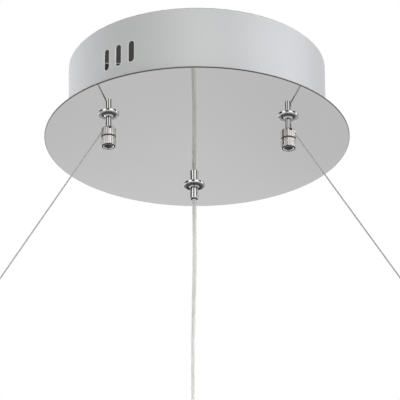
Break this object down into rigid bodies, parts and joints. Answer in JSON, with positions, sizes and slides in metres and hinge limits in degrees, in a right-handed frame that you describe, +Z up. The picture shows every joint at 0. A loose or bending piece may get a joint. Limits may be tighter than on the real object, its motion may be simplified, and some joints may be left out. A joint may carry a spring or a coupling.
{
  "type": "chandelier ceiling canopy",
  "caption": "Round drum ceiling canopy with a mirror plate, two steel suspension wires in swivelling fluted wire locks, and a clear hanging power cord.",
  "frame": {"origin": "centre of the ceiling bracket's top face, on the ceiling", "axes": "+Z up into the ceiling; -Y is the side of the canopy seen nearest in the picture; the cord outlet lies towards +Y"},
  "size_m": [0.3457, 0.25, 0.3022],
  "materials": {
    "polished_steel": "mirror polished stainless sheet",
    "silver_paint": "satin silver lacquer with a fine grain",
    "chrome": "bright chrome plating",
    "zinc_steel": "bright zinc plating",
    "steel_cable": "fine stranded, bright",
    "clear_pvc": "clear, over two silver conductors",
    "dark_rubber": "matt",
    "black_steel": "oiled black oxide",
    "brass": "turned",
    "white_plastic": "fine satin",
    "nylon": "natural, slightly translucent",
    "foam": "closed cell, adhesive",
    "brown_lead": "extruded insulation",
    "blue_lead": "extruded insulation",
    "earth_lead": "extruded, green with a yellow stripe"
  },
  "bodies": {
    "root": {"ceiling_bracket": "zinc_steel", "connector_pins": "brass", "cord_bush": "dark_rubber", "cord_connector": "white_plastic", "cord_flange": "chrome", "cord_inner_run": "clear_pvc", "cord_nozzle": "chrome", "cord_nut": "zinc_steel", "cord_washer": "zinc_steel", "driver_case": "white_plastic", "driver_lid": "white_plastic", "driver_pads": "foam", "driver_screws": "zinc_steel", "drum_shell": "silver_paint", "earth_lead": "earth_lead", "earth_lug": "zinc_steel", "earth_screw": "zinc_steel", "live_lead": "brown_lead", "lock_flange_left": "chrome", "lock_flange_right": "chrome", "lock_nut_left": "zinc_steel", "lock_nut_right": "zinc_steel", "lock_stem_left": "chrome", "lock_stem_right": "chrome", "lock_washer_left": "zinc_steel", "lock_washer_right": "zinc_steel", "mirror_plate": "polished_steel", "neutral_lead": "blue_lead", "power_cord": "clear_pvc", "side_screws": "zinc_steel", "terminal_block": "nylon", "terminal_pad": "foam", "terminal_screws": "zinc_steel"},
    "left_lock": {"lock_neck_left": "chrome", "lock_body_left": "chrome", "lock_set_screw_left": "black_steel", "wire_stop_left": "brass", "steel_wire_left": "steel_cable", "wire_end_left": "zinc_steel"},
    "left_clamp_pad": {"clamp_pad_left": "brass"},
    "left_clamp_screw": {"clamp_screw_left": "chrome"},
    "right_lock": {"lock_neck_right": "chrome", "lock_body_right": "chrome", "lock_set_screw_right": "black_steel", "wire_stop_right": "brass", "steel_wire_right": "steel_cable", "wire_end_right": "zinc_steel"},
    "right_clamp_pad": {"clamp_pad_right": "brass"},
    "right_clamp_screw": {"clamp_screw_right": "chrome"}
  },
  "joints": [
    {"name": "left_lock_swivel", "type": "hinge", "parent": "root", "child": "left_lock", "pos_m": [-0.07258, -0.04327, -0.0768], "axis": [0, 0, -1], "range_deg": [-75, 75]},
    {"name": "left_clamp_travel", "type": "slide", "parent": "left_lock", "child": "left_clamp_pad", "axis": [0, 0, -1], "range_m": [0, 0.001]},
    {"name": "left_clamp_turn", "type": "hinge", "parent": "left_clamp_pad", "child": "left_clamp_screw", "pos_m": [-0.07258, -0.04327, -0.0768], "axis": [0, 0, -1], "range_deg": [0, 720]},
    {"name": "right_lock_swivel", "type": "hinge", "parent": "root", "child": "right_lock", "pos_m": [0.07251, -0.04339, -0.0768], "axis": [0, 0, -1], "range_deg": [-75, 75]},
    {"name": "right_clamp_travel", "type": "slide", "parent": "right_lock", "child": "right_clamp_pad", "axis": [0, 0, -1], "range_m": [0, 0.001]},
    {"name": "right_clamp_turn", "type": "hinge", "parent": "right_clamp_pad", "child": "right_clamp_screw", "pos_m": [0.07251, -0.04339, -0.0768], "axis": [0, 0, -1], "range_deg": [0, 720]}
  ],
  "couplings": [
    {"joint": "left_clamp_turn", "follows": "left_clamp_travel", "rad_per_m": 12566},
    {"joint": "right_clamp_turn", "follows": "right_clamp_travel", "rad_per_m": 12566}
  ]
}
